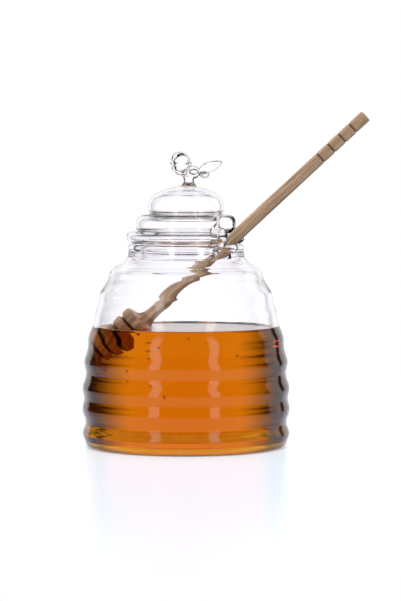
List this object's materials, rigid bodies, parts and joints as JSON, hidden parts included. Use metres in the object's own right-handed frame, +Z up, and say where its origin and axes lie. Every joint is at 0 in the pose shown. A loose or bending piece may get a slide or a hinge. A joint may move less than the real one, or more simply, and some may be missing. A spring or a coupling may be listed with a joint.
{
  "type": "honey jar with dipper",
  "caption": "Ringed clear glass honey jar with a stepped, side-notched glass lid, amber honey inside and a wooden dipper leaning out of the notch.",
  "frame": {"origin": "centre of the jar's flat base, on the surface that it stands on", "axes": "+Z up along the jar's axis, +X towards the side where the dipper leans out, -Y towards the viewer of the picture"},
  "size_m": [0.1404, 0.1022, 0.164],
  "materials": {
    "jar_glass": "clear polished",
    "lid_glass": "clear flame-polished",
    "honey": "clear amber, wet",
    "dipper_wood": "bare turned beech"
  },
  "bodies": {
    "root": {"jar": "jar_glass", "lid": "lid_glass", "honey": "honey", "dipper": "dipper_wood"}
  },
  "joints": []
}
